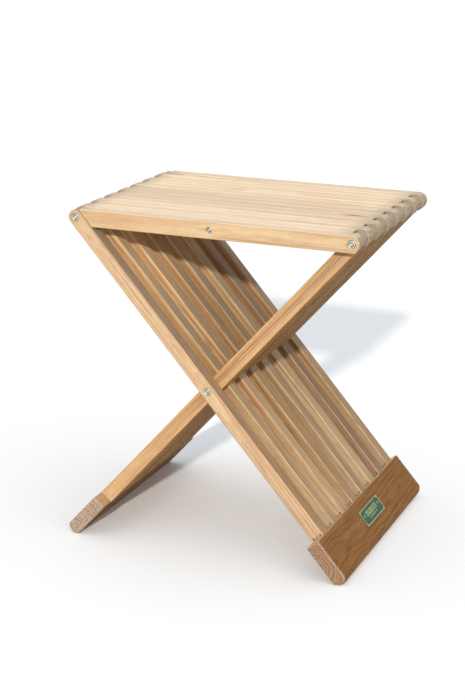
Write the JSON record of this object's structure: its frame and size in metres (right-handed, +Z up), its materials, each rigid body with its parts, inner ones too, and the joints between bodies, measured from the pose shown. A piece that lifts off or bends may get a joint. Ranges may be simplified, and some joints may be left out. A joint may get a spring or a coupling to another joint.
{
  "type": "shower stool",
  "caption": "Slatted teak stool on crossed slatted legs with a foot board each, a staggered slat deck and steel rods; folds flat.",
  "frame": {"origin": "on the floor, under the middle of the stool", "axes": "+Z up, +X to the right along the seat slats, +Y to the back along the rods"},
  "size_m": [0.4084, 0.3564, 0.4567],
  "materials": {
    "seat_teak": "sun-bleached teak, sanded, unfinished, fine open grain",
    "leg_teak": "teak, sanded, unfinished, eased pale edges, tints vary from slat to slat",
    "foot_teak": "darker figured teak, sanded, unfinished, eased edges",
    "steel": "satin stainless steel",
    "label": "green enamel plate with a pale gold border, no lettering"
  },
  "bodies": {
    "leg_b": {"leg_b_slat_1": "leg_teak", "leg_b_slat_2": "leg_teak", "leg_b_slat_3": "leg_teak", "leg_b_slat_4": "leg_teak", "leg_b_slat_5": "leg_teak", "leg_b_slat_6": "leg_teak", "leg_b_slat_7": "leg_teak", "brad_b_1": "steel", "brad_b_2": "steel", "brad_b_3": "steel", "brad_b_4": "steel", "brad_b_5": "steel", "brad_b_6": "steel", "brad_b_7": "steel", "foot_board_b": "foot_teak"},
    "leg_a": {"leg_a_slat_1": "leg_teak", "leg_a_slat_2": "leg_teak", "leg_a_slat_3": "leg_teak", "leg_a_slat_4": "leg_teak", "leg_a_slat_5": "leg_teak", "leg_a_slat_6": "leg_teak", "leg_a_slat_7": "leg_teak", "leg_a_slat_8": "leg_teak", "brad_a_1": "steel", "brad_a_2": "steel", "brad_a_3": "steel", "brad_a_4": "steel", "brad_a_5": "steel", "brad_a_6": "steel", "brad_a_7": "steel", "brad_a_8": "steel", "foot_board_a": "foot_teak", "label_plate": "label", "rod_leg_a_top": "steel", "nut_leg_a_top_front": "steel", "nut_leg_a_top_back": "steel", "rod_crossing": "steel", "nut_crossing_front": "steel", "nut_crossing_back": "steel"},
    "seat": {"seat_slat_1": "seat_teak", "seat_slat_2": "seat_teak", "seat_slat_3": "seat_teak", "seat_slat_4": "seat_teak", "seat_slat_5": "seat_teak", "seat_slat_6": "seat_teak", "seat_slat_7": "seat_teak", "seat_slat_8": "seat_teak", "seat_slat_9": "seat_teak", "seat_slat_10": "seat_teak", "seat_slat_11": "seat_teak", "seat_slat_12": "seat_teak", "seat_slat_13": "seat_teak", "seat_slat_14": "seat_teak", "seat_slat_15": "seat_teak", "rod_leg_b_top": "steel", "nut_leg_b_top_front": "steel", "nut_leg_b_top_back": "steel", "rod_seat_tie": "steel", "nut_seat_tie_front": "steel", "nut_seat_tie_back": "steel"}
  },
  "joints": [
    {"name": "leg_fold", "type": "hinge", "parent": "leg_b", "child": "leg_a", "pos_m": [0, 0, 0.23019], "axis": [0, 1, 0], "range_deg": [0, 77]},
    {"name": "seat_fold", "type": "hinge", "parent": "leg_b", "child": "seat", "pos_m": [0.1895, 0, 0.44551], "axis": [0, 1, 0], "range_deg": [0, 131]}
  ],
  "couplings": [
    {"joint": "seat_fold", "follows": "leg_fold", "ratio": 1.7}
  ]
}
